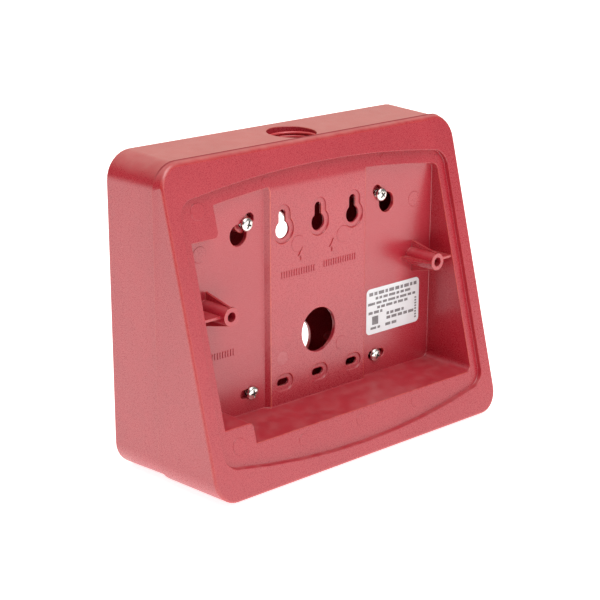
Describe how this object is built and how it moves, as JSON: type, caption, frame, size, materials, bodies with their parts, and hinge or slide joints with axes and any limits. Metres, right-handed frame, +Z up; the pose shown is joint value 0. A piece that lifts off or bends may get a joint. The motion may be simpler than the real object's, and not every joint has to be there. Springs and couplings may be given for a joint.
{
  "type": "surface-mount annunciator housing",
  "caption": "Empty red plastic wall housing: a back box with a threaded conduit entry and a wedge-shaped front with a recessed frame for a display module, held together by screws.",
  "frame": {"origin": "middle of the flat rear face that goes against the wall", "axes": "+X to the right seen from the front, +Y into the wall, +Z up"},
  "size_m": [0.192, 0.074, 0.1524],
  "materials": {
    "housing_plastic": "satin moulded red plastic",
    "screw_steel": "bright nickel-plated steel",
    "label_film": "off-white printed film"
  },
  "bodies": {
    "root": {"back_box": "housing_plastic", "wedge_housing": "housing_plastic", "rating_label": "label_film", "screw_upper_left": "screw_steel", "screw_upper_right": "screw_steel", "screw_lower_left": "screw_steel", "screw_lower_right": "screw_steel"}
  },
  "joints": []
}
